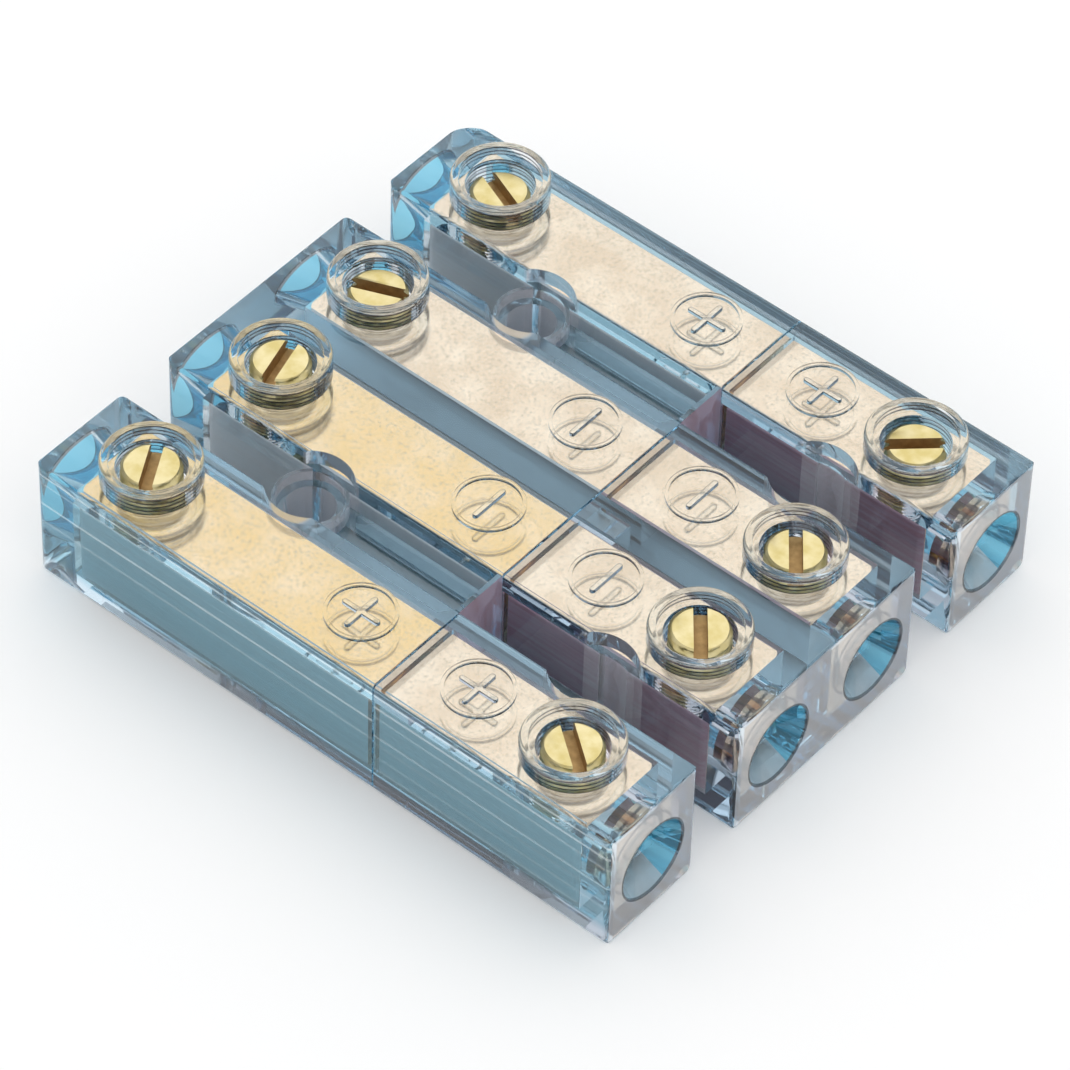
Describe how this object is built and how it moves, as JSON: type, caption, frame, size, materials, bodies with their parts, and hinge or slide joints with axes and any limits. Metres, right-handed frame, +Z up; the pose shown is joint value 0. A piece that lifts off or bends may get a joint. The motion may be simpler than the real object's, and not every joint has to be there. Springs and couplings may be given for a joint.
{
  "type": "power distribution block",
  "caption": "Clear moulded power distribution block that parts at a seam, with wire entries at both ends, metal bars, contact pins and slotted terminal screws in collars.",
  "frame": {"origin": "centre of the underside of the block, collars and halves included", "axes": "+X along the poles from the long socket half to the short plug half, +Y across the poles, +Z up through the terminal screws"},
  "size_m": [0.0588, 0.052, 0.0139],
  "materials": {
    "clear_moulding": "clear, faint blue tint",
    "bar": "satin plated",
    "pin": "satin turned",
    "screw": "bright turned"
  },
  "bodies": {
    "socket_half": {"socket_housing": "clear_moulding", "socket_bar_1": "bar", "socket_bar_2": "bar", "socket_bar_3": "bar", "socket_bar_4": "bar"},
    "plug_half": {"plug_housing": "clear_moulding", "plug_bar_1": "bar", "plug_bar_2": "bar", "plug_bar_3": "bar", "plug_bar_4": "bar", "contact_pin_1": "pin", "contact_pin_2": "pin", "contact_pin_3": "pin", "contact_pin_4": "pin"},
    "socket_screw_1": {"socket_screw_1": "screw"},
    "socket_screw_2": {"socket_screw_2": "screw"},
    "socket_screw_3": {"socket_screw_3": "screw"},
    "socket_screw_4": {"socket_screw_4": "screw"},
    "plug_screw_1": {"plug_screw_1": "screw"},
    "plug_screw_2": {"plug_screw_2": "screw"},
    "plug_screw_3": {"plug_screw_3": "screw"},
    "plug_screw_4": {"plug_screw_4": "screw"}
  },
  "joints": [
    {"name": "halves_part", "type": "slide", "parent": "socket_half", "child": "plug_half", "axis": [1, 0, 0], "range_m": [0, 0.02]},
    {"name": "socket_screw_1_turn", "type": "hinge", "parent": "socket_half", "child": "socket_screw_1", "pos_m": [-0.02155, -0.02095, 0.009], "axis": [0, 0, -1], "range_deg": [-180, 1620]},
    {"name": "socket_screw_2_turn", "type": "hinge", "parent": "socket_half", "child": "socket_screw_2", "pos_m": [-0.02155, -0.00585, 0.009], "axis": [0, 0, -1], "range_deg": [-135, 1665]},
    {"name": "socket_screw_3_turn", "type": "hinge", "parent": "socket_half", "child": "socket_screw_3", "pos_m": [-0.02155, 0.00585, 0.009], "axis": [0, 0, -1], "range_deg": [-540, 1260]},
    {"name": "socket_screw_4_turn", "type": "hinge", "parent": "socket_half", "child": "socket_screw_4", "pos_m": [-0.02155, 0.02095, 0.009], "axis": [0, 0, -1], "range_deg": [-585, 1215]},
    {"name": "plug_screw_1_turn", "type": "hinge", "parent": "plug_half", "child": "plug_screw_1", "pos_m": [0.02135, -0.02095, 0.009], "axis": [0, 0, -1], "range_deg": [-180, 1395]},
    {"name": "plug_screw_2_turn", "type": "hinge", "parent": "plug_half", "child": "plug_screw_2", "pos_m": [0.02135, -0.00585, 0.009], "axis": [0, 0, -1], "range_deg": [0, 1530]},
    {"name": "plug_screw_3_turn", "type": "hinge", "parent": "plug_half", "child": "plug_screw_3", "pos_m": [0.02135, 0.00585, 0.009], "axis": [0, 0, -1], "range_deg": [-315, 1260]},
    {"name": "plug_screw_4_turn", "type": "hinge", "parent": "plug_half", "child": "plug_screw_4", "pos_m": [0.02135, 0.02095, 0.009], "axis": [0, 0, -1], "range_deg": [-360, 1215]}
  ]
}
